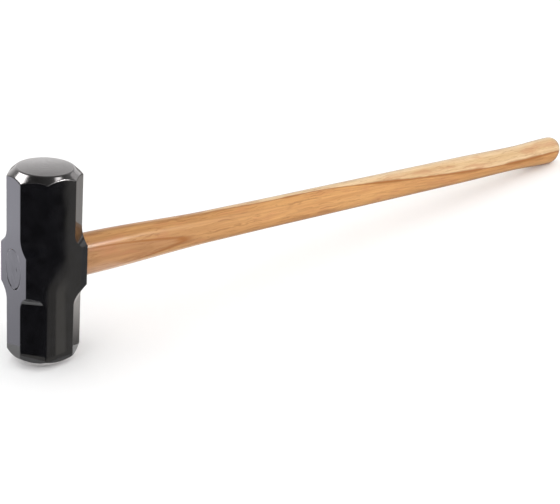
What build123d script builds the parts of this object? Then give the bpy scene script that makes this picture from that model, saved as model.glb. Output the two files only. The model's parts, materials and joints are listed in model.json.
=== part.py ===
from build123d import *
import os
from math import cos, pi

# Double-face sledgehammer: a 14 lb forged head on a 36 in hickory handle. Millimetres, +Z up.
# The origin is the centre of the head's flat eye end, where the wedged end of the handle
# comes flush. +X runs along the handle to its butt, and +Z is the line between the two
# striking faces.

# Head: an octagonal bar, square-cornered only across the eye
HEAD_DEPTH = 71.8  # along the handle, eye end to handle side
HEAD_WIDTH = 66.3  # across the cheeks
NECK_END_FACE = 28.7  # width of the eye-end and handle-side flats above and below the eye
NECK_CHEEK_FACE = 32.2  # width of the cheek flats above and below the eye
EYE_END_FACE = 53.0  # width of the eye-end and handle-side flats across the eye
EYE_CHEEK_FACE = 49.0  # width of the cheek flats across the eye
SCOOP_RADIUS = 22.0  # concave run-out of each corner cut towards the eye
SCOOP_START = 39.8  # height at which a corner cut starts to run out
EDGE_RADIUS = 1.0

# Striking ends: a ground cone bevel round a slightly domed face
RIM_HEIGHT = 106.2  # rim of the face above the handle's axis
RIM_RADIUS = 29.4
CROWN_RISE = 2.0
BEVEL_SLOPE = 0.94  # drop of the bevel for each millimetre outwards
RIM_EDGE_RADIUS = 2.0

# Eye, oval and waisted: distance from the eye end, height, width, gap left round the wood
EYE_OVALS = [
    (0.0, 45.0, 30.0, 0.5),
    (34.0, 39.0, 26.5, 0.2),
    (HEAD_DEPTH, 46.0, 34.0, 0.05),
]
EYE_LIP = 0.8  # chamfer round both mouths

# Handle: the ovals where its swelling and narrowing turn, as (distance, height, width)
HANDLE_LENGTH = 914.0
SHOULDER = HEAD_DEPTH + 0.2
HANDLE_OVALS = [
    (SHOULDER, 47.6, 35.4),
    (86.0, 47.6, 35.4),
    (262.0, 38.4, 30.1),
    (340.0, 37.7, 29.6),
    (690.0, 37.7, 29.6),
    (804.0, 35.9, 28.3),
    (892.0, 40.8, 32.2),
]
HANDLE_SECTIONS = 32
BUTT_START, BUTT_HEIGHT, BUTT_WIDTH = HANDLE_OVALS[-1]
BUTT_DOME = 24.0  # semi-axis of the rounded butt, cut off flat at the handle's end
BUTT_STEPS = 5

# Wooden wedge in the saw kerf, along the tall way of the eye
KERF_DEPTH = 50.0
WEDGE_THICK_END = 8.0
WEDGE_THIN_END = 1.6

# Steel wedges, driven aslant across the wooden one
STEEL_WIDTH = 16.0
STEEL_LENGTH = 32.0
STEEL_THICK_END = 4.2
STEEL_THIN_END = 1.0
STEEL_TEETH = 4
STEEL_BARB = 0.4
STEEL_SPACING = 18.0

# Sizes that follow from the ones above
HEAD_AXIS = Axis((HEAD_DEPTH / 2, 0, 0), (0, 0, 1))
HEAD_HALF = RIM_HEIGHT + CROWN_RISE
BAR_HALF = HEAD_HALF + 2  # the bar before its ends are turned
CROWN_RADIUS = (RIM_RADIUS**2 + CROWN_RISE**2) / (2 * CROWN_RISE)


def octagon(end_face, cheek_face):
    """Plan outline of the head with the given widths left on its flats."""
    x, y = HEAD_DEPTH / 2, HEAD_WIDTH / 2
    corner = [(x, end_face / 2), (cheek_face / 2, y)]
    side = corner + [(-px, py) for px, py in reversed(corner)]
    return side + [(-px, -py) for px, py in side]


def corner_plane(side_x, side_y):
    """Upright plane square to one corner cut: its x is the distance from the head's axis."""
    across = Vector(
        side_x * (HEAD_WIDTH - NECK_END_FACE), side_y * (HEAD_DEPTH - NECK_CHEEK_FACE), 0
    ).normalized()
    return Plane(
        origin=HEAD_AXIS.position, x_dir=across, z_dir=across.cross(Vector(0, 0, 1))
    )


def on_rim(edge):
    """Whether an edge is the rim of a striking face."""
    return abs(abs(edge.center().Z) - RIM_HEIGHT) < 0.1


def is_hard(edge):
    """Whether an edge needs softening: neither a rim nor the start of a scoop, which is tangent."""
    at_scoop_start = abs(abs(edge.center().Z) - SCOOP_START) < 0.1
    return edge.geom_type != GeomType.CIRCLE and not at_scoop_start


def eye_core(fit):
    """The waisted oval body of the eye: its full hollow at fit 0, the wood inside it at fit 1."""
    with BuildPart() as core:
        for distance, height, width, gap in EYE_OVALS:
            with BuildSketch(Plane.YZ.offset(distance)):
                Ellipse(width / 2 - fit * gap, height / 2 - fit * gap)
        loft()
    return core.part


def shank_oval(distance):
    """Height and width of the handle at a distance, eased between the ovals listed."""
    for (x0, h0, w0), (x1, h1, w1) in zip(HANDLE_OVALS, HANDLE_OVALS[1:]):
        if distance <= x1 + 1e-6:
            share = (1 - cos(pi * (distance - x0) / (x1 - x0))) / 2
            return h0 + (h1 - h0) * share, w0 + (w1 - w0) * share


os.makedirs("parts", exist_ok=True)

# Head: a bar of the section across the eye, its corners cut above and below, its ends turned
# to a bevel and a shallow dome, its edges softened, and the eye through it
neck_corner = Vector(HEAD_DEPTH / 2, NECK_END_FACE / 2, 0)
neck_reach = neck_corner.dot(corner_plane(1, 1).x_dir)
bevel_out = HEAD_DEPTH * 0.7
bevel_foot = (bevel_out, RIM_HEIGHT - BEVEL_SLOPE * (bevel_out - RIM_RADIUS))
bevel_tip = (RIM_RADIUS - (BAR_HALF - RIM_HEIGHT) / BEVEL_SLOPE, BAR_HALF)

with BuildPart() as head:
    with BuildSketch(Plane.XY.offset(-BAR_HALF)):
        with Locations((HEAD_DEPTH / 2, 0)):
            Polygon(*octagon(EYE_END_FACE, EYE_CHEEK_FACE))
    extrude(amount=2 * BAR_HALF)

    cut_middle = (SCOOP_START + BAR_HALF) / 2
    for side_x in (-1, 1):
        for side_y in (-1, 1):
            with BuildSketch(corner_plane(side_x, side_y)):
                for up in (-1, 1):
                    with Locations((neck_reach + SCOOP_RADIUS, up * SCOOP_START)):
                        Circle(SCOOP_RADIUS)
                    with Locations((neck_reach + SCOOP_RADIUS, up * cut_middle)):
                        Rectangle(2 * SCOOP_RADIUS, BAR_HALF - SCOOP_START)
            extrude(amount=HEAD_WIDTH, both=True, mode=Mode.SUBTRACT)

    with BuildSketch(Plane.XZ.shift_origin((HEAD_DEPTH / 2, 0, 0))):
        with BuildLine():
            Polyline((0, BAR_HALF), (0, 0), (bevel_out, 0), bevel_foot, bevel_tip, close=True)
        make_face()
        mirror(about=Plane.XZ)
    revolve(axis=HEAD_AXIS, mode=Mode.INTERSECT)
    for up in (-1, 1):
        with Locations((HEAD_DEPTH / 2, 0, up * (HEAD_HALF - CROWN_RADIUS))):
            Sphere(CROWN_RADIUS, mode=Mode.INTERSECT)
    fillet(head.edges().filter_by(GeomType.CIRCLE).filter_by(on_rim), RIM_EDGE_RADIUS)
    fillet(head.edges().filter_by(is_hard), EDGE_RADIUS)
    add(eye_core(fit=0), mode=Mode.SUBTRACT)
    eye_end, handle_side = head.faces().filter_by(GeomType.PLANE).filter_by(Axis.X).sort_by(Axis.X)
    chamfer(eye_end.inner_wires().edges() + handle_side.inner_wires().edges(), EYE_LIP)
head.part.label = "head"
export_step(head.part, "parts/head.step")

# Steel wedges: teeth that face the thick end hold each one in, and that end is flush
tooth = STEEL_LENGTH / STEEL_TEETH
taper = (STEEL_THICK_END - STEEL_THIN_END) / STEEL_LENGTH
edge_line = [(0, STEEL_THICK_END / 2)]
for n in range(1, STEEL_TEETH):
    half = (STEEL_THICK_END - taper * n * tooth) / 2
    edge_line += [(n * tooth, half - STEEL_BARB), (n * tooth, half)]
edge_line.append((STEEL_LENGTH, STEEL_THIN_END / 2))
steel_wedges = {}
for name, height in (("upper", STEEL_SPACING / 2), ("lower", -STEEL_SPACING / 2)):
    slant = Plane(origin=(0, 0, height), x_dir=(1, 0, 0), z_dir=(0, 1, 1))
    with BuildPart() as steel_wedge:
        with BuildSketch(slant):
            Polygon(*edge_line, *[(x, -y) for x, y in reversed(edge_line)], align=None)
        extrude(amount=STEEL_WIDTH / 2, both=True)
    steel_wedge.part.label = f"steel_wedge_{name}"
    export_step(steel_wedge.part, f"parts/steel_wedge_{name}.step")
    steel_wedges[name] = steel_wedge.part

# Wooden wedge: fills the opened kerf from wall to wall of the eye, split by the steel ones
tip = WEDGE_THIN_END / 2
mouth = WEDGE_THICK_END / 2
with BuildPart() as kerf:
    with BuildSketch(Plane.XY):
        Polygon((0, mouth), (KERF_DEPTH, tip), (KERF_DEPTH, -tip), (0, -mouth), align=None)
    extrude(amount=HEAD_WIDTH, both=True)

with BuildPart() as wood_wedge:
    add(eye_core(fit=1))
    add(kerf.part, mode=Mode.INTERSECT)
    for wedge in steel_wedges.values():
        add(wedge, mode=Mode.SUBTRACT)
wood_wedge.part.label = "wood_wedge"
export_step(wood_wedge.part, "parts/wood_wedge.step")

# Handle: long oval shank with a flared, rounded butt, and the split end inside the eye
with BuildPart() as handle:
    for n in range(HANDLE_SECTIONS + 1):
        distance = SHOULDER + (BUTT_START - SHOULDER) * n / HANDLE_SECTIONS
        height, width = shank_oval(distance)
        with BuildSketch(Plane.YZ.offset(distance)):
            Ellipse(width / 2, height / 2)
    loft()
    for n in range(BUTT_STEPS + 1):
        along = (HANDLE_LENGTH - BUTT_START) * n / BUTT_STEPS
        scale = (1 - (along / BUTT_DOME) ** 2) ** 0.5
        with BuildSketch(Plane.YZ.offset(BUTT_START + along)):
            Ellipse(BUTT_WIDTH / 2 * scale, BUTT_HEIGHT / 2 * scale)
    loft()
    add(eye_core(fit=1))
    root = handle.faces().filter_by(GeomType.PLANE).filter_by_position(
        Axis.X, HEAD_DEPTH - 0.01, HEAD_DEPTH + 0.01
    )
    extrude(root[0], amount=SHOULDER - HEAD_DEPTH)
    add(kerf.part, mode=Mode.SUBTRACT)
    for wedge in steel_wedges.values():
        add(wedge, mode=Mode.SUBTRACT)
handle.part.label = "handle"
export_step(handle.part, "parts/handle.step")

for piece in (head.part, handle.part, wood_wedge.part, *steel_wedges.values()):
    print(piece.label, round(piece.volume / 1000, 1), "cm3")
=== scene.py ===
import json
import math

import bmesh
import bpy
import numpy as np
from mathutils import Matrix, Vector, noise

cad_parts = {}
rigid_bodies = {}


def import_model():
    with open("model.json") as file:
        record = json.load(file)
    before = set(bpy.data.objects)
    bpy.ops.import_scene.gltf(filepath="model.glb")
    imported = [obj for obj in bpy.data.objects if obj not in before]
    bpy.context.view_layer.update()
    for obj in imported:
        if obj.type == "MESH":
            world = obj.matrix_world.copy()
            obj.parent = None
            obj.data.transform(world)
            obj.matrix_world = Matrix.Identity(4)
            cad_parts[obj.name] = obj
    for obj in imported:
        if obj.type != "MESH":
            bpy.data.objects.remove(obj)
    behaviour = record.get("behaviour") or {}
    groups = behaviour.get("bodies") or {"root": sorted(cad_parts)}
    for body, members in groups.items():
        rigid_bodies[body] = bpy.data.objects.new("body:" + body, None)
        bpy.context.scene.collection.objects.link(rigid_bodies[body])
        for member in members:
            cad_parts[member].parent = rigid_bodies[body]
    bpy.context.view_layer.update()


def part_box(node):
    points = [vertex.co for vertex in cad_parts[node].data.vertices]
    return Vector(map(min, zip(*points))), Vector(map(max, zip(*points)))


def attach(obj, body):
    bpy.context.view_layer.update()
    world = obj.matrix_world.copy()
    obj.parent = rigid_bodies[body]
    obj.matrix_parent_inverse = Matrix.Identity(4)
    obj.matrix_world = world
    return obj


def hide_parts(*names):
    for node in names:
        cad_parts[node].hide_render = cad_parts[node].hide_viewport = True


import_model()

# Looks of the double-face sledgehammer, in metres, in the CAD frame: the origin is the centre of
# the head's eye end, +X runs along the handle and +Z between the striking faces.

# Head: sizes that the frame's box doesn't give
HEAD_LOW, HEAD_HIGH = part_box("head")
HEAD_X = (HEAD_LOW.x + HEAD_HIGH.x) / 2
HALF_DEPTH = (HEAD_HIGH.x - HEAD_LOW.x) / 2
HALF_WIDTH = HEAD_HIGH.y
HALF_LENGTH = HEAD_HIGH.z
NECK_END_FACE = 0.0287
NECK_CHEEK_FACE = 0.0322
EYE_END_FACE = 0.0530
EYE_CHEEK_FACE = 0.0490
SCOOP_RADIUS = 0.022
SCOOP_START = 0.0398
CROWN_RISE = 0.002
RIM_HEIGHT = HALF_LENGTH - CROWN_RISE
RIM_RADIUS = 0.0294
BEVEL_SLOPE = 0.94
EDGE_SOFTNESS = 0.00045
BEVEL_SOFTNESS = 0.0007
RIM_SOFTNESS = 0.0009
CHEEK_GRIND = 0.0007  # how far the grinding has run over onto the middle of each cheek
CHEEK_GRIND_REACH = 0.0175
WAVE_HEIGHT = 0.000022  # shallow waves that forging leaves in the flats
WAVE_LENGTH = 0.022
WAVE_FADE = 0.002  # the waves die out this near the ground ends, down to a small share
WAVE_LEAST = 0.15
FAN_HEIGHT = 0.090  # where the mesh's rays stop being level and fan out over the end
HALVINGS = 40  # of the search for the surface along each ray
SHARP_ANGLE = math.radians(32)

# Eye: distance from the eye end, half height, half width
EYE_OVALS = ((0.0, 0.0225, 0.0150), (0.034, 0.0195, 0.01325), (2 * HALF_DEPTH, 0.0230, 0.0170))
EYE_LIP = 0.00012
EYE_GAP_END = 0.00012
EYE_GAP_SHOULDER = 0.00005
CUTTER_OVERRUN = 0.002

# Handle: the ovals where its swelling and narrowing turn, as distance, half height, half width
HANDLE_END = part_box("handle")[1].x
END_RISE = 0.0009  # the wood's end sits high in the eye, which leaves a gap below it
END_RISE_LENGTH = 0.008
END_ROUNDING = 0.0004
SHOULDER = 2 * HALF_DEPTH + 0.0002
HANDLE_OVALS = (
    (SHOULDER, 0.02380, 0.01770),
    (0.086, 0.02380, 0.01770),
    (0.262, 0.01920, 0.01505),
    (0.340, 0.01885, 0.01480),
    (0.690, 0.01885, 0.01480),
    (0.804, 0.01795, 0.01415),
    (0.892, 0.02040, 0.01610),
)
BUTT_START = HANDLE_OVALS[-1][0]
BUTT_DOME = 0.024

# Kerf and split in the handle's end
WEDGE_THIN_HALF = 0.0008
KERF_OVERRUN = 0.003
KERF_HALF_HEIGHT = 0.03
SPLIT_OUTLINE = ((-0.0067, 0.0042), (-0.0077, 0.0002), (-0.0057, 0.0028), (-0.0048, 0.0068))
SPLIT_DEPTH = 0.002
LACQUERED_LENGTH = 0.014  # of the handle, from its end in the eye
FLAT_END = 0.0001


# ---------------------------------------------------------------- meshes


def mesh_object(name, vertices, faces):
    """A smooth-shaded mesh object, linked to the scene."""
    mesh = bpy.data.meshes.new(name)
    mesh.from_pydata([tuple(v) for v in vertices], [], faces)
    mesh.shade_smooth()
    piece = bpy.data.objects.new(name, mesh)
    bpy.context.scene.collection.objects.link(piece)
    return piece


def tube_faces(rings, around):
    """Quads between rings of vertices, one ring after another."""
    faces = []
    for i in range(rings - 1):
        for j in range(around):
            k = (j + 1) % around
            a = i * around
            faces.append((a + j, a + k, a + around + k, a + around + j))
    return faces


def spans(*parts):
    """Sample values over consecutive (end, count) spans, from the first part's start value."""
    start, values = parts[0], [parts[0]]
    for end, count in parts[1:]:
        values += list(np.linspace(start, end, count + 1)[1:])
        start = end
    return np.array(values)


def soft_max(a, b, softness):
    """The larger of two distances, rounded where they are nearly equal."""
    return np.maximum(a, b) + np.maximum(softness - np.abs(a - b), 0) ** 2 / (4 * softness)


def corner_line(end_face, cheek_face):
    """Outward normal and reach, in plan, of the corner flat that leaves these face widths."""
    a = np.array([HALF_DEPTH, end_face / 2])
    b = np.array([cheek_face / 2, HALF_WIDTH])
    normal = np.array([b[1] - a[1], a[0] - b[0]])
    normal /= np.linalg.norm(normal)
    return normal, normal @ a


def head_surfaces(points):
    """How far points lie outside the head's lacquered sides and outside its ground ends."""
    x, y, z = np.abs(points).T
    (cheek_x, cheek_y), cheek_reach = corner_line(EYE_END_FACE, EYE_CHEEK_FACE)
    (neck_x, neck_y), neck_reach = corner_line(NECK_END_FACE, NECK_CHEEK_FACE)
    wall = soft_max(x - HALF_DEPTH, y - HALF_WIDTH, EDGE_SOFTNESS)
    wall = soft_max(wall, cheek_x * x + cheek_y * y - cheek_reach, EDGE_SOFTNESS)

    out = neck_x * x + neck_y * y - neck_reach
    below = np.minimum(z - SCOOP_START, 0)
    scoop = SCOOP_RADIUS - np.hypot(out - SCOOP_RADIUS, below)
    neck = np.where(below < 0, np.where(out < SCOOP_RADIUS, scoop, out), out)
    wall = soft_max(wall, neck, EDGE_SOFTNESS)

    radius = np.hypot(x, y)
    bevel = (z - RIM_HEIGHT + BEVEL_SLOPE * (radius - RIM_RADIUS)) / math.hypot(1, BEVEL_SLOPE)
    dome = (RIM_RADIUS**2 + CROWN_RISE**2) / (2 * CROWN_RISE)
    crown = np.sqrt(radius**2 + (z - HALF_LENGTH + dome) ** 2) - dome
    return wall, soft_max(bevel, crown, RIM_SOFTNESS)


def head_distance(points):
    """How far points, taken about the head's centre, lie outside it; negative inside."""
    return soft_max(*head_surfaces(points), BEVEL_SOFTNESS)


def forging_wave(place):
    return noise.noise(place) + 0.4 * noise.noise(place * 2.3)


def head_points():
    """Rings of points on the head: rays from its axis, level along it and fanned at the ends."""
    quarter = np.radians(spans(0, (20, 8), (38, 30), (52, 10), (66, 26), (90, 10)))
    half = np.concatenate([quarter, (math.pi - quarter)[::-1][1:]])
    around = np.concatenate([half, half[1:-1] + math.pi])
    heights = spans(0, (0.020, 7), (0.028, 18), (0.041, 18), (FAN_HEIGHT, 14))
    fan = np.radians(spans(0, (9, 4), (21, 28), (27, 6), (31, 14), (87, 14)))[1:]
    rows = [(h, 0.0) for h in heights] + [(FAN_HEIGHT, angle) for angle in fan]
    rows = [(-h, -angle) for h, angle in rows[:0:-1]] + rows

    height, angle = np.array(rows).T
    way = np.stack(
        [
            np.outer(np.cos(angle), np.cos(around)),
            np.outer(np.cos(angle), np.sin(around)),
            np.outer(np.sin(angle), np.ones(len(around))),
        ],
        axis=-1,
    ).reshape(-1, 3)
    origin = np.zeros_like(way)
    origin[:, 2] = np.repeat(height, len(around))
    near, far = np.zeros(len(way)), np.full(len(way), 2 * HALF_LENGTH)
    for _ in range(HALVINGS):
        middle = (near + far) / 2
        inside = head_distance(origin + way * middle[:, None]) < 0
        near, far = np.where(inside, middle, near), np.where(inside, far, middle)
    points = origin + way * near[:, None]
    wall, end = head_surfaces(points)
    waves = [forging_wave(Vector(p) / WAVE_LENGTH) for p in points]
    height = np.array(waves) * WAVE_HEIGHT * np.clip((wall - end) / WAVE_FADE, WAVE_LEAST, 1)
    return points + way * height[:, None], len(rows), len(around)


def make_head():
    """The head, with how far inside the ground ends each point lies as its ground attribute."""
    points, rings, around = head_points()
    poles = [(0, 0, -HALF_LENGTH), (0, 0, HALF_LENGTH)]
    vertices = np.vstack([points, poles]) + np.array([HEAD_X, 0, 0])
    faces = tube_faces(rings, around)
    south, north = len(points), len(points) + 1
    last = (rings - 1) * around
    for j in range(around):
        k = (j + 1) % around
        faces += [(south, k, j), (north, last + j, last + k)]
    head = mesh_object("sledge_head", vertices, faces)
    about = vertices - np.array([HEAD_X, 0, 0])
    wall, end = head_surfaces(about)
    on_cheek = np.clip(1 - (about[:, 0] / CHEEK_GRIND_REACH) ** 2, 0, 1)
    on_cheek *= np.abs(about[:, 1]) > 0.9 * HALF_WIDTH
    millimetres = (end - wall + on_cheek * CHEEK_GRIND) * 1000
    ground = head.data.attributes.new("ground", "FLOAT", "POINT")
    ground.data.foreach_set("value", millimetres.astype(np.float32))
    return head


def quadratic(knots, x, column):
    """Value at x of the parabola through three knots, in the given column."""
    (x0, *a), (x1, *b), (x2, *c) = knots
    l0 = (x - x1) * (x - x2) / ((x0 - x1) * (x0 - x2))
    l1 = (x - x0) * (x - x2) / ((x1 - x0) * (x1 - x2))
    l2 = (x - x0) * (x - x1) / ((x2 - x0) * (x2 - x1))
    return a[column] * l0 + b[column] * l1 + c[column] * l2


def eye_oval(x):
    """Half height and half width of the eye at a distance from the eye end."""
    inside = min(max(x, 0), 2 * HALF_DEPTH)
    return quadratic(EYE_OVALS, inside, 0), quadratic(EYE_OVALS, inside, 1)


def oval_tube(name, rings, around=96):
    """A closed tube of ovals along X, from (distance, half height, half width, rise) rings."""
    turn = np.linspace(0, 2 * math.pi, around, endpoint=False)
    vertices = [
        (x, w * math.sin(t), rise + h * math.cos(t)) for x, h, w, rise in rings for t in turn
    ]
    faces = tube_faces(len(rings), around)
    first, last = len(vertices), (len(rings) - 1) * around
    vertices += [(rings[0][0], 0, 0), (rings[-1][0], 0, 0)]
    for j in range(around):
        k = (j + 1) % around
        faces += [(first, k, j), (first + 1, last + j, last + k)]
    return mesh_object(name, vertices, [tuple(reversed(f)) for f in faces])


def eye_rings():
    """The eye's hollow, flared into both mouths, as rings."""
    end = 2 * HALF_DEPTH
    near = ((-0.0001, 1), (EYE_LIP, 8))
    far = ((end - EYE_LIP, 24), (end + 0.0001, 8), (end + CUTTER_OVERRUN, 1))
    rings = []
    for x in spans(-CUTTER_OVERRUN, *near, *far):
        depth = min(max(min(x, end - x), 0), EYE_LIP)
        flare = EYE_LIP - math.sqrt(EYE_LIP**2 - (EYE_LIP - depth) ** 2)
        height, width = eye_oval(x)
        rings.append((x, height + flare, width + flare, 0))
    return rings


def carve(piece, cutter):
    """Cuts the cutter out of the piece and removes it."""
    cut = piece.modifiers.new("cut", "BOOLEAN")
    cut.operation, cut.solver, cut.object = "DIFFERENCE", "EXACT", cutter
    depsgraph = bpy.context.evaluated_depsgraph_get()
    piece.data = bpy.data.meshes.new_from_object(piece.evaluated_get(depsgraph))
    piece.modifiers.clear()
    bpy.data.objects.remove(cutter)
    piece.data.set_sharp_from_angle(angle=SHARP_ANGLE)


def shank_oval(x):
    """Half height and half width of the handle, eased between the ovals listed."""
    for (x0, h0, w0), (x1, h1, w1) in zip(HANDLE_OVALS, HANDLE_OVALS[1:]):
        if x <= x1:
            share = (1 - math.cos(math.pi * (x - x0) / (x1 - x0))) / 2
            return h0 + (h1 - h0) * share, w0 + (w1 - w0) * share


def handle_rings():
    """Rings from the end in the eye to the rounded butt."""
    rings = []
    for x in spans(0.0, (END_ROUNDING, 6), (SHOULDER - 0.0006, 16), (SHOULDER, 1)):
        gap = EYE_GAP_END + (EYE_GAP_SHOULDER - EYE_GAP_END) * x / SHOULDER
        gap += max(END_ROUNDING - x, 0) ** 2 / (2 * END_ROUNDING)
        rise = END_RISE * max(1 - x / END_RISE_LENGTH, 0) ** 2
        height, width = eye_oval(x)
        rings.append((x, height - gap - rise, width - gap, rise))
    for x in spans(SHOULDER, (BUTT_START, 150)):
        h, w = shank_oval(x)
        rings.append((x, h, w, 0))
    for x in spans(BUTT_START, (HANDLE_END, 24))[1:]:
        share = math.sqrt(1 - ((x - BUTT_START) / BUTT_DOME) ** 2)
        rings.append((x, HANDLE_OVALS[-1][1] * share, HANDLE_OVALS[-1][2] * share, 0))
    return rings


head = make_head()
carve(head, oval_tube("eye_cutter", eye_rings()))
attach(head, "root")
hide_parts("head")


def kerf_cutter():
    """The sawn kerf that the wooden wedge fills, a little over length at its open sides."""
    wedge_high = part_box("wood_wedge")[1]
    thick = wedge_high.y + (wedge_high.y - WEDGE_THIN_HALF) * KERF_OVERRUN / wedge_high.x
    vertices = []
    for x, half in ((-KERF_OVERRUN, thick), (wedge_high.x, WEDGE_THIN_HALF)):
        for y in (-half, half):
            vertices += [(x, y, -KERF_HALF_HEIGHT), (x, y, KERF_HALF_HEIGHT)]
    faces = [(0, 1, 3, 2), (4, 6, 7, 5), (0, 4, 5, 1), (2, 3, 7, 6), (0, 2, 6, 4), (1, 5, 7, 3)]
    return mesh_object("kerf_cutter", vertices, faces)


def cad_node(name):
    return next(o for o in bpy.data.objects if o.name == name)


def copy_of(node):
    """A loose copy of a CAD node's mesh, its faces joined up so that it can cut."""
    source = cad_node(node)
    mesh = source.data.copy()
    work = bmesh.new()
    work.from_mesh(mesh)
    bmesh.ops.remove_doubles(work, verts=work.verts, dist=0.000002)
    work.to_mesh(mesh)
    work.free()
    copy = bpy.data.objects.new(node + "_cutter", mesh)
    bpy.context.scene.collection.objects.link(copy)
    copy.matrix_world = source.matrix_world
    return copy


def split_cutter():
    """A short split in the wood, by the end of the upper steel wedge."""
    vertices = [(x, y, z) for x in (-SPLIT_DEPTH / 2, SPLIT_DEPTH) for y, z in SPLIT_OUTLINE]
    sides = [(i, (i + 1) % 4, (i + 1) % 4 + 4, i + 4) for i in range(4)]
    return mesh_object("split_cutter", vertices, [(3, 2, 1, 0), (4, 5, 6, 7)] + sides)


handle = oval_tube("hickory_handle", handle_rings())
carve(handle, kerf_cutter())
carve(handle, split_cutter())
for node in ("steel_wedge_upper", "steel_wedge_lower"):
    carve(handle, copy_of(node))
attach(handle, "root")
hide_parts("handle")


# ---------------------------------------------------------------- materials


class Nodes:
    """A short way to write a material's nodes; every call returns an output or a number."""

    def __init__(self, name):
        self.material = bpy.data.materials.new(name)
        self.material.use_nodes = True
        self.tree = self.material.node_tree
        self.shader = self.tree.nodes["Principled BSDF"]

    def add(self, kind, inputs=None, output=0, **settings):
        node = self.tree.nodes.new("ShaderNode" + kind)
        for key, value in settings.items():
            setattr(node, key, value)
        for key, value in (inputs or {}).items():
            self.put(node.inputs[key], value)
        return node.outputs[output]

    def put(self, socket, value):
        if isinstance(value, bpy.types.NodeSocket):
            self.tree.links.new(value, socket)
        elif socket.type == "RGBA":
            socket.default_value = (*value, 1)
        else:
            socket.default_value = value

    def set(self, **inputs):
        """Sets the Principled shader's inputs, given as lower-case words."""
        for key, value in inputs.items():
            name = key.replace("_", " ").title().replace("Ior", "IOR")
            self.put(self.shader.inputs[name], value)

    def math(self, operation, a, b=0.0, c=0.0):
        return self.add("Math", {0: a, 1: b, 2: c}, operation=operation)

    def place(self):
        return self.add("TexCoord", output="Object")

    def length(self, vector):
        return self.add("VectorMath", {0: vector}, output="Value", operation="LENGTH")

    def split(self, vector):
        """A vector's three parts."""
        node = self.tree.nodes.new("ShaderNodeSeparateXYZ")
        self.put(node.inputs[0], vector)
        return node.outputs

    def reach(self, *direction):
        """How far a point lies along a direction."""
        inputs = {0: self.place(), 1: direction}
        return self.add("VectorMath", inputs, output="Value", operation="DOT_PRODUCT")

    def stretch(self, vector, scale, offset=(0, 0, 0)):
        return self.add("Mapping", {"Vector": vector, "Scale": scale, "Location": offset})

    def noise(self, vector, scale, detail=3, roughness=0.5):
        inputs = {"Vector": vector, "Scale": scale, "Detail": detail, "Roughness": roughness}
        return self.add("TexNoise", inputs, noise_dimensions="3D")

    def map(self, value, low, high, to_low=0.0, to_high=1.0, smooth=True):
        inputs = {"Value": value, "From Min": low, "From Max": high}
        inputs.update({"To Min": to_low, "To Max": to_high})
        kind = "SMOOTHSTEP" if smooth else "LINEAR"
        return self.add("MapRange", inputs, interpolation_type=kind, clamp=True)

    def mix(self, factor, a, b):
        """A colour between a and b."""
        node = self.tree.nodes.new("ShaderNodeMix")
        node.data_type = "RGBA"
        self.put(node.inputs["Factor"], factor)
        self.put(node.inputs[6], a)
        self.put(node.inputs[7], b)
        return node.outputs[2]

    def blend(self, factor, a, b):
        """A number between a and b."""
        return self.add("Mix", {"Factor": factor, 2: a, 3: b})

    def bump(self, height, distance, normal=None):
        inputs = {"Height": height, "Distance": distance, "Strength": 1.0}
        if normal is not None:
            inputs["Normal"] = normal
        return self.add("Bump", inputs)


LACQUER_IOR = 1.6
LACQUER_BLACK = ((0.0022, 0.0022, 0.0030), (0.0050, 0.0050, 0.0064))
GROUND_STEEL = ((0.54, 0.515, 0.515), (0.66, 0.635, 0.635))
SCRATCH_GREY = (0.36, 0.345, 0.34)
MILL_STEEL = ((0.30, 0.29, 0.28), (0.44, 0.43, 0.42))


def lacquer_look(n, place):
    """Black lacquer's colour, roughness and surface height."""
    patches = n.noise(place, 70, 3)
    color = n.mix(n.map(patches, 0.3, 0.7), *LACQUER_BLACK)
    dust = n.map(n.noise(place, 1500, 2), 0.66, 0.76)
    roughness = n.math("MULTIPLY_ADD", dust, 0.12, n.map(patches, 0.3, 0.7, 0.05, 0.085))
    return color, roughness, n.math("MULTIPLY", n.noise(place, 420, 2), 0.3)


def lacquered_end():
    """Lacquer brushed over the handle's end grain."""
    n = Nodes("lacquered_end")
    color, gloss, peel = lacquer_on_wood(n, n.place())
    n.set(base_color=color, roughness=gloss, ior=LACQUER_IOR, normal=n.bump(peel, 0.00004))
    return n.material


def lacquer_on_wood(n, place):
    """The same lacquer where end grain has drunk it in: duller and rougher."""
    color = lacquer_look(n, place)[0]
    grain_end = n.noise(place, 650, 4, 0.6)
    return color, n.map(grain_end, 0.35, 0.65, 0.10, 0.26), n.math("MULTIPLY", grain_end, 1.6)


def lacquered_steel():
    """Glossy black lacquer on forged sides; bevel and crown ground bright in fine rings."""
    n = Nodes("lacquered_steel")
    place = n.place()
    ragged = n.map(n.noise(place, 260, 4), 0.3, 0.7, -0.16, 0.16, smooth=False)
    edge = n.math("ADD", n.add("Attribute", output="Fac", attribute_name="ground"), ragged)
    ground = n.map(edge, -0.02, 0.12)

    around = n.add("VectorMath", {0: place, 1: (-HEAD_X, 0, 0)}, operation="ADD")
    radius = n.length(n.stretch(around, (1, 1, 0)))
    grooves = n.noise(n.add("CombineXYZ", {"X": radius}), 4200, 2)
    scratches = n.noise(n.stretch(place, (900, 60, 200)), 1, 4)
    ridges = n.map(grooves, 0.3, 0.7)
    steel = n.mix(ridges, *GROUND_STEEL)
    steel = n.mix(n.map(scratches, 0.58, 0.75, 0, 0.4), steel, SCRATCH_GREY)
    crown = n.map(radius, RIM_RADIUS, RIM_RADIUS - 0.002)
    dull = n.math("MULTIPLY_ADD", ridges, 0.06, n.map(crown, 0, 1, 0.12, 0.24))

    lacquer, gloss, peel = lacquer_look(n, place)
    height = n.blend(ground, peel, n.math("ADD", grooves, scratches))
    n.set(
        base_color=n.mix(ground, lacquer, steel),
        metallic=ground,
        roughness=n.blend(ground, gloss, dull),
        ior=LACQUER_IOR,
        normal=n.bump(height, 0.000012),
    )
    return n.material


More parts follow.
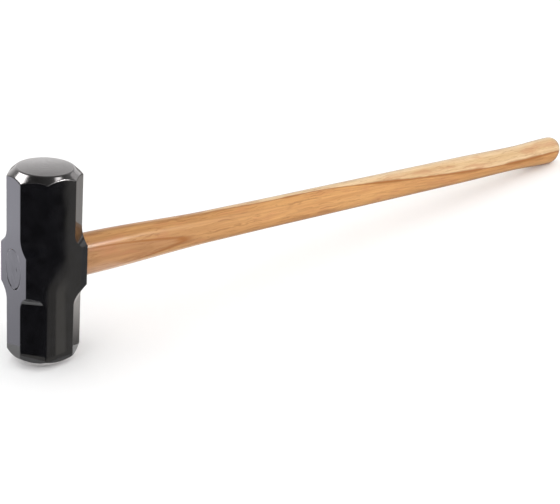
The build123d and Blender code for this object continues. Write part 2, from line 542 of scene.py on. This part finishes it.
# The tree that the handle was cut from: its pith runs beside the handle and turns about it
RING_SPACING = 0.0026
RING_WANDER = 0.0010
PITH_ANGLE = math.radians(5)
PITH_ANGLE_BUTT = math.radians(37.6)
PITH_DISTANCE = 0.14
GRAIN_SLOPE = 0.0222
MID_GRAIN_TURN = 0.0038
BUTT_GRAIN_TURN = 0.0020
SWAY_START = 0.573
SWAY_LENGTH = 0.734
SWAY_HEIGHT = 0.0039
FIGURE = 0.010  # how far figured wood moves a streak sideways

# Depths towards the pith at which sapwood ends and the core starts
SAPWOOD_END = -0.0056
CORE_START = 0.0114

SAP_WOOD = ((0.65, 0.42, 0.20), (0.78, 0.56, 0.32))
NEAR_WOOD = ((0.47, 0.218, 0.064), (0.60, 0.310, 0.102))
FAR_WOOD = ((0.56, 0.255, 0.070), (0.69, 0.355, 0.112))
CORE_WOOD = ((0.39, 0.168, 0.050), (0.50, 0.238, 0.080))
REDDISH = (0.50, 0.17, 0.065)
BORDER_BROWN = (0.36, 0.115, 0.008)
RING_BROWN = (0.33, 0.14, 0.035)
STREAK_BROWN = (0.33, 0.125, 0.026)
FIBRE_BROWN = (0.36, 0.16, 0.045)
PORE_BROWN = (0.15, 0.06, 0.018)
WEDGE_WOOD = ((0.52, 0.36, 0.20), (0.66, 0.49, 0.31))
WEDGE_FIBRE = (0.34, 0.20, 0.10)


def grain(n, place):
    """How deep a point lies towards the pith, and how far along the handle."""
    along, across, up = n.split(place)
    angle = n.map(along, 0.2, 0.6, PITH_ANGLE, PITH_ANGLE_BUTT)
    y = n.math("MULTIPLY_ADD", n.math("COSINE", angle), PITH_DISTANCE, across)
    z = n.math("MULTIPLY_ADD", n.math("SINE", angle), PITH_DISTANCE, up)
    distance = n.length(n.add("CombineXYZ", {"Y": y, "Z": z}))
    depth = n.math("SUBTRACT", PITH_DISTANCE, distance)
    depth = n.math("SUBTRACT", depth, n.math("MULTIPLY", along, GRAIN_SLOPE))
    drift = n.noise(n.stretch(place, (7, 20, 20)), 1, 2)
    depth = n.math("ADD", depth, n.math("MULTIPLY", n.math("SUBTRACT", drift, 0.5), RING_WANDER))
    phase = n.math("MULTIPLY", n.math("SUBTRACT", along, SWAY_START), math.tau / SWAY_LENGTH)
    sway = n.math("MULTIPLY", n.math("SINE", phase), n.map(along, 0.30, 0.45, 0, -SWAY_HEIGHT))
    middle = n.map(along, 0.20, 0.45, 0, MID_GRAIN_TURN)
    butt = n.map(along, 0.70, 0.93, 0, BUTT_GRAIN_TURN)
    return n.math("ADD", depth, n.math("ADD", sway, n.math("ADD", middle, butt))), along


def waved(n, place):
    """The same place moved a little sideways, so that streaks wander as in figured wood."""
    inputs = {"Vector": n.stretch(place, (30, 55, 55)), "Scale": 1.0, "Detail": 2.0}
    wave = n.add("TexNoise", inputs, output="Color", noise_dimensions="3D")
    wave = n.add("VectorMath", {0: wave, 1: (0.5, 0.5, 0.5)}, operation="SUBTRACT")
    wave = n.add("VectorMath", {0: wave, 1: (0, FIGURE, FIGURE)}, operation="MULTIPLY")
    return n.add("VectorMath", {0: place, 1: wave}, operation="ADD")


def coated_end(n, along):
    """Where the black lacquer has run over the ends that fill the eye."""
    return n.map(along, 0.005, 0.008, 1, 0)


def hickory():
    """Varnished hickory: cream sapwood, golden wood and a browner core, with rings and pores."""
    n = Nodes("hickory")
    place = n.place()
    depth, along = grain(n, place)
    coarse = n.noise(n.stretch(place, (7, 190, 190)), 1, 4, 0.6)
    fibre = n.noise(n.stretch(place, (22, 1100, 1100)), 1, 4, 0.6)
    figured = waved(n, place)
    broad = n.noise(n.stretch(figured, (14, 80, 80), (5.2, 1.4, 2.6)), 1, 3)
    pores = n.map(n.noise(n.stretch(place, (70, 1900, 1900)), 1, 2), 0.60, 0.72)
    shaken = n.math("ADD", depth, n.math("MULTIPLY", n.math("SUBTRACT", coarse, 0.5), 0.0012))

    turns = n.math("DIVIDE", shaken, RING_SPACING)
    ring = n.math("FRACT", turns)
    early = n.math("MULTIPLY", n.map(ring, 0.0, 0.08), n.map(ring, 0.10, 0.60, 1, 0))
    which = n.noise(n.add("CombineXYZ", {"X": n.math("FLOOR", turns)}), 3.7, 0)
    early = n.math("MULTIPLY", early, n.map(which, 0.35, 0.7, 0.03, 0.45))
    broken = n.noise(n.stretch(place, (9, 130, 130), (3, 1, 2)), 1, 3, 0.6)
    early = n.math("MULTIPLY", early, n.map(broken, 0.38, 0.62, 0.15, 1.0))

    sapless = n.map(along, 0.14, 0.34, 1, 0)
    heart = n.math("MAXIMUM", n.map(shaken, SAPWOOD_END - 0.0004, SAPWOOD_END + 0.0006), sapless)
    cored = n.map(along, 0.26, 0.30, 1, 0)
    core = n.math("MULTIPLY", n.map(shaken, CORE_START - 0.0003, CORE_START + 0.0003), cored)
    light = n.map(coarse, 0.3, 0.7)
    heartwood = n.mix(n.map(along, 0.15, 0.40), n.mix(light, *NEAR_WOOD), n.mix(light, *FAR_WOOD))
    color = n.mix(heart, n.mix(light, *SAP_WOOD), heartwood)
    color = n.mix(core, color, n.mix(light, *CORE_WOOD))
    color = n.mix(n.map(broad, 0.50, 0.68, 0, 0.42), color, REDDISH)
    ragged = n.map(n.noise(n.stretch(place, (16, 30, 30)), 1, 3), 0.35, 0.62, 0.0009, 0.0038)
    sap_border = (SAPWOOD_END, ragged, n.map(sapless, 0, 1, 1.0, 0.15))
    core_border = (CORE_START, 0.0008, cored)
    for border, width, fade in (sap_border, core_border):
        line = n.math("ABSOLUTE", n.math("SUBTRACT", shaken, border))
        line = n.math("MULTIPLY", n.map(line, 0, width, 1, 0), fade)
        color = n.mix(line, color, BORDER_BROWN)
    in_heart = n.map(shaken, SAPWOOD_END - 0.0015, SAPWOOD_END + 0.0015, 0.3, 1.0)
    early = n.math("MULTIPLY", early, in_heart)
    color = n.mix(early, color, RING_BROWN)
    streaks = n.noise(n.stretch(figured, (12, 420, 420)), 1, 4, 0.6)
    streaks = n.math("MULTIPLY", n.map(streaks, 0.51, 0.66), n.map(along, 0.33, 0.60, 0.62, 0.34))
    color = n.mix(streaks, color, STREAK_BROWN)
    color = n.mix(n.map(fibre, 0.45, 0.75, 0, 0.3), color, FIBRE_BROWN)
    open_pores = n.math("MULTIPLY", pores, n.map(early, 0, 0.5, 0.25, 0.8))
    color = n.mix(n.math("MULTIPLY", open_pores, 0.65), color, PORE_BROWN)

    height = n.math("SUBTRACT", n.math("MULTIPLY", fibre, 0.3), n.math("MULTIPLY", open_pores, 0.6))
    n.set(
        base_color=color,
        roughness=n.map(fibre, 0.3, 0.7, 0.38, 0.5, smooth=False),
        normal=n.bump(height, 0.00003),
        coat_weight=1.0,
        coat_normal=n.bump(coarse, 0.00025),
        coat_roughness=0.18,
    )
    return n.material


def wedge_wood():
    """Pale dry wood, black with lacquer on the end that shows in the eye."""
    n = Nodes("wedge_wood")
    place = n.place()
    fibre = n.noise(n.stretch(place, (40, 1300, 600)), 1, 4, 0.6)
    rings = n.noise(n.stretch(place, (4, 700, 90)), 1, 2)
    color = n.mix(n.map(rings, 0.35, 0.65), *WEDGE_WOOD)
    color = n.mix(n.map(fibre, 0.45, 0.75, 0, 0.4), color, WEDGE_FIBRE)
    coated = coated_end(n, n.split(place)[0])
    lacquer, gloss, peel = lacquer_on_wood(n, place)
    n.set(
        base_color=n.mix(coated, color, lacquer),
        roughness=n.blend(coated, 0.65, gloss),
        ior=1.55,
        normal=n.bump(n.math("ADD", fibre, peel), 0.00004),
    )
    return n.material


def wedge_steel():
    """Rolled mild steel with mill marks along it, lacquered over on its driven end."""
    n = Nodes("wedge_steel")
    place = n.place()
    mill = n.noise(n.stretch(place, (60, 1400, 1400)), 1, 3)
    scale = n.noise(place, 240, 4)
    color = n.mix(n.map(scale, 0.35, 0.65), *MILL_STEEL)
    coated = coated_end(n, n.split(place)[0])
    lacquer, gloss, peel = lacquer_on_wood(n, place)
    n.set(
        base_color=n.mix(coated, color, lacquer),
        metallic=n.blend(coated, 1.0, 0.0),
        roughness=n.blend(coated, n.map(mill, 0.3, 0.7, 0.3, 0.5), gloss),
        ior=LACQUER_IOR,
        normal=n.bump(n.math("ADD", mill, peel), 0.00002),
    )
    return n.material


head.data.materials.append(lacquered_steel())
handle.data.materials.append(hickory())
handle.data.materials.append(lacquered_end())
for face in handle.data.polygons:
    if face.center.x < LACQUERED_LENGTH:
        face.material_index = 1
    if face.center.x < FLAT_END:
        face.use_smooth = False
for node, make in (
    ("wood_wedge", wedge_wood),
    ("steel_wedge_upper", wedge_steel),
    ("steel_wedge_lower", wedge_steel),
):
    for slot in cad_node(node).material_slots:
        slot.material = make()


# ---------------------------------------------------------------- camera, floor, light, painted reflections

# The hammer lies on the far rim edge of its lower face and on the underside of its flared butt
rest_head = Vector((HEAD_X + RIM_RADIUS, 0, -RIM_HEIGHT))
rest_butt = Vector((BUTT_START, 0, -HANDLE_OVALS[-1][1]))
floor_slope = (rest_butt.z - rest_head.z) / (rest_butt.x - rest_head.x)

CAMERA_AT = Vector((-0.5116, -0.9529, 0.4997))
CAMERA_TO = Vector((0.2670, -0.1087, 0.0061))
CAMERA_LENS = 72.81
CAMERA_UP = Vector((0.19239, 0.35707, 0.91405))

FLOOR_START, FLOOR_END, FLOOR_STEPS = -5, 6, 110
LEVEL_FROM = 1.9  # the floor's slope is gone by here
LEVELLING = 0.8  # and starts to go this far before it
PANEL_HEIGHT = 0.75
FLOOR_WHITE = ((0.90, 0.90, 0.90), (0.92, 0.92, 0.92))
COOL_TINT = (0.96, 0.95, 1.06)
WORLD_CAMERA = 1.2
WORLD_FILL = 1.25
WALL_FRONT = 0.33
WALL_LEFT = 0.22

# The studio that glossy surfaces see: level against height, from straight down to straight up
STUDIO_HEIGHTS = (
    (0.0, 0.85),
    (0.5, 0.92),
    (0.57, 0.92),
    (0.70, 0.52),
    (0.82, 0.30),
    (0.90, 0.13),
    (1.0, 0.12),
)


def facing(at, to, up):
    """The matrix of an object at one point whose -Z looks at another."""
    back = (at - to).normalized()
    right = up.cross(back).normalized()
    return Matrix.Translation(at) @ Matrix((right, back.cross(right), back)).transposed().to_4x4()


def make_camera():
    data = bpy.data.cameras.new("camera")
    data.lens, data.sensor_width = CAMERA_LENS, 36
    camera = bpy.data.objects.new("camera", data)
    bpy.context.scene.collection.objects.link(camera)
    camera.matrix_world = facing(CAMERA_AT, CAMERA_TO, CAMERA_UP)
    bpy.context.scene.camera = camera


def glow(name, radiance, tint=(1, 1, 1)):
    """An emission-only material; the radiance is a number, or a function that makes one."""
    n = Nodes(name)
    n.tree.nodes.remove(n.shader)
    strength = radiance(n) if callable(radiance) else radiance
    emission = n.add("Emission", {"Color": tint, "Strength": strength})
    n.put(n.tree.nodes["Material Output"].inputs["Surface"], emission)
    return n.material


def soft_edge(x_range, y_range, radiance, fade):
    """A panel's radiance, fading towards its edges."""
    (west, east), (south, north) = x_range, y_range

    def levels(n):
        level = 1.0
        for start, way in ((west, (1, 0)), (-east, (-1, 0)), (south, (0, 1)), (-north, (0, -1))):
            edge = n.map(n.reach(*way, 0), start, start + fade)
            level = n.math("MINIMUM", level, edge)
        return n.math("MULTIPLY", level, radiance)

    return levels


def softbox(name, x_range, y_range, radiance, fade, lights=True):
    """A level lit panel over the hammer; the camera doesn't see it."""
    (west, east), (south, north) = x_range, y_range
    corners = [(west, south), (west, north), (east, north), (east, south)]
    panel = mesh_object(name, [(x, y, PANEL_HEIGHT) for x, y in corners], [(0, 1, 2, 3)])
    panel.data.materials.append(glow(name, soft_edge(x_range, y_range, radiance, fade)))
    panel.visible_camera = False
    panel.visible_diffuse = panel.visible_shadow = lights


def painted_reflection_card(name, outline, lift, radiance, tint=(1, 1, 1)):
    """A card lying on the floor that only reflections see: its glow is a painted reflection of the
    floor and studio, not a lamp.
    """
    corners = [(x, y, rest_head.z + (x - rest_head.x) * floor_slope + lift) for x, y in outline]
    card = mesh_object(name, corners, [tuple(range(len(outline)))])
    card.data.materials.append(glow(name, radiance, tint))
    card.visible_camera = card.visible_diffuse = False
    card.visible_shadow = card.visible_transmission = False


def make_floor():
    """A pale sheet: at the hammer's rest slope under it, and level further out."""
    xs = np.linspace(FLOOR_START, FLOOR_END, FLOOR_STEPS + 1)
    slope = floor_slope * np.clip((LEVEL_FROM - xs) / LEVELLING, 0, 1)
    z = np.concatenate([[0], np.cumsum((slope[1:] + slope[:-1]) / 2 * np.diff(xs))])
    z += rest_head.z - np.interp(rest_head.x, xs, z)
    vertices = [(x, y, h) for x, h in zip(xs, z) for y in (FLOOR_START, FLOOR_END)]
    faces = [(2 * i, 2 * i + 2, 2 * i + 3, 2 * i + 1) for i in range(len(xs) - 1)]
    floor = mesh_object("floor", vertices, faces)
    n = Nodes("floor")
    shade = n.map(n.noise(n.place(), 3, 2), 0.3, 0.7)
    n.set(base_color=n.mix(shade, *FLOOR_WHITE), roughness=0.9)
    floor.data.materials.append(n.material)


def make_world():
    """White to the camera, even to matt surfaces, and a studio's walls to glossy ones."""
    world = bpy.data.worlds.new("studio")
    bpy.context.scene.world = world
    world.use_nodes = True
    tree = world.node_tree
    background = tree.nodes["Background"]
    background.inputs["Color"].default_value = (1, 1, 1, 1)

    def math_node(operation, a, b, c=0.0):
        node = tree.nodes.new("ShaderNodeMath")
        node.operation = operation
        for i, value in enumerate((a, b, c)):
            if isinstance(value, bpy.types.NodeSocket):
                tree.links.new(value, node.inputs[i])
            else:
                node.inputs[i].default_value = value
        return node.outputs[0]

    def wall(value, start, end, dim):
        """A wall's level: dim up to the start, and full from the end on."""
        node = tree.nodes.new("ShaderNodeMapRange")
        tree.links.new(value, node.inputs["Value"])
        keys = ("From Min", "From Max", "To Min", "To Max")
        for key, number in zip(keys, (start, end, dim, 1.0)):
            node.inputs[key].default_value = number
        return node.outputs[0]

    direction = tree.nodes.new("ShaderNodeTexCoord").outputs["Generated"]
    split = tree.nodes.new("ShaderNodeSeparateXYZ")
    tree.links.new(direction, split.inputs[0])
    ramp = tree.nodes.new("ShaderNodeValToRGB")
    ramp.color_ramp.interpolation = "EASE"
    while len(ramp.color_ramp.elements) < len(STUDIO_HEIGHTS):
        ramp.color_ramp.elements.new(0.5)
    for element, (position, level) in zip(ramp.color_ramp.elements, STUDIO_HEIGHTS):
        element.position, element.color = position, (level, level, level, 1)
    tree.links.new(math_node("MULTIPLY_ADD", split.outputs[2], 0.5, 0.5), ramp.inputs[0])
    back = wall(split.outputs[1], 0.0, 0.8, WALL_FRONT)
    side = wall(split.outputs[0], -0.35, 0.25, WALL_LEFT)
    studio = math_node("MULTIPLY", ramp.outputs[0], math_node("MULTIPLY", back, side))

    path = tree.nodes.new("ShaderNodeLightPath")
    to_camera = path.outputs["Is Camera Ray"]
    even = math_node("MULTIPLY_ADD", to_camera, WORLD_CAMERA - WORLD_FILL, WORLD_FILL)
    other = math_node("SUBTRACT", 1.0, path.outputs["Is Glossy Ray"])
    lit = math_node("MULTIPLY", even, other)
    strength = math_node("MULTIPLY_ADD", studio, path.outputs["Is Glossy Ray"], lit)
    tree.links.new(strength, background.inputs["Strength"])


def white_painted_shade_near_head(n):
    """Painted shade in the floor's reflection: dimmer near the head, where it shades the floor, and
    brighter away from it.
    """
    return n.map(n.length(n.place()), 0.08, 0.46, 1.09, 1.95, smooth=False)


def grey_painted_shade_by_foot(n):
    """Painted shade in the floor's reflection: dim beside the head's foot, brightest a hand's
    breadth from it, then even.
    """
    east = n.reach(1, 0, 0)
    rise = n.map(east, 0.084, 0.150, 0.24, 0.95, smooth=False)
    near = n.math("MINIMUM", rise, n.map(east, 0.16, 0.32, 0.95, 0.64))
    return n.math("MULTIPLY", near, n.map(n.reach(0, 1, 0), 0.19, 0.26, 1, 0.3))


def handle_painted_shadow(n):
    """Painted shadow in the floor's reflection: darkest along the handle, where it shades the
    floor.
    """
    return n.map(n.reach(0, 1, 0), -0.075, -0.035, 0.35, 0.20)


def dark_painted_reflection_bands(n):
    """Painted reflection: dark away from the head, with painted lighter bands on the floor in front
    of it.
    """
    forward = n.reach(0.505, -0.863, 0)
    across = n.math("SUBTRACT", n.reach(0.863, 0.505, 0), n.map(forward, 0.19, 0.29, 0, 0.021))
    bands = n.map(across, -0.002, 0.003, 0.03, 0.36)
    bands = n.math("MAXIMUM", bands, n.map(across, 0.008, 0.012, 0.03, 0.78))
    bands = n.math("MINIMUM", bands, n.map(across, 0.019, 0.023, 0.78, 0.47))
    bands = n.math("MINIMUM", bands, n.map(forward, 0.18, 0.26, 0.8, 0.42))
    return n.blend(n.map(n.reach(-0.84, -0.54, 0), 0.035, 0.07), bands, 0.03)


make_camera()
make_floor()
make_world()
softbox("softbox_left", (-0.72, -0.20), (0.20, 1.04), radiance=2.6, fade=0.18)
softbox("softbox_right", (0.15, 0.46), (-0.44, -0.14), radiance=1.6, fade=0.13)
softbox("softbox_far", (0.86, 1.9), (-0.14, 0.75), radiance=0.45, fade=0.15, lights=False)
softbox("softbox_back", (1.25, 2.6), (0.5, 2.2), radiance=0.8, fade=0.3, lights=False)
softbox("softbox_handle", (0.60, 1.08), (-2.1, -0.80), radiance=14.0, fade=0.26)
# Painted white reflection of the floor behind and left of the head, with painted shade near the
# head.
painted_reflection_card(
    "white_card",
    ((-0.03, 0.03), (0.02, 0.10), (0.1, 3.0), (-3.0, 3.0), (-2.0, 0.3), (-0.06, -0.01)),
    lift=0.003,
    radiance=white_painted_shade_near_head,
    tint=COOL_TINT,
)
# Painted grey reflection of the floor right of the head, with painted shade beside its foot.
painted_reflection_card(
    "grey_right",
    ((0.076, -0.036), (0.080, 0.06), (0.5, 3.0), (3.0, 2.4), (2.8, 0.2), (0.5, 0.05)),
    lift=0.003,
    radiance=grey_painted_shade_by_foot,
    tint=(1.04, 0.99, 0.95),
)
# Painted grey reflection of the floor in front of the head.
front_corners = ((0.7, -0.4), (0.10, -0.06), (0.07, -0.045))
painted_reflection_card(
    "grey_front",
    ((0.0, -0.045), (-0.04, -0.03), (-0.5, -3.0), (3.0, -3.0), *front_corners),
    lift=0.003,
    radiance=0.52,
    tint=(1.04, 1.0, 0.93),
)
# Painted dim reflection of the floor under the handle, with the handle's painted shadow.
painted_reflection_card(
    "grey_handle",
    ((0.17, -0.10), (0.7, -0.4), (3.0, -3.0), (3.0, 0.2), (0.5, 0.055), (0.17, -0.012)),
    lift=0.004,
    radiance=handle_painted_shadow,
)
# Painted dark reflection in front of the head, with painted lighter bands near it.
painted_reflection_card(
    "dark_front",
    ((0.054, -0.045), (3.1, -5.2), (-5.2, -5.2), (-5.2, 0.65), (-0.035, -0.025), (0.0, -0.045)),
    lift=0.008,
    radiance=dark_painted_reflection_bands,
    tint=(1.05, 1.0, 0.92),
)
bpy.context.scene.view_settings.view_transform = "Standard"
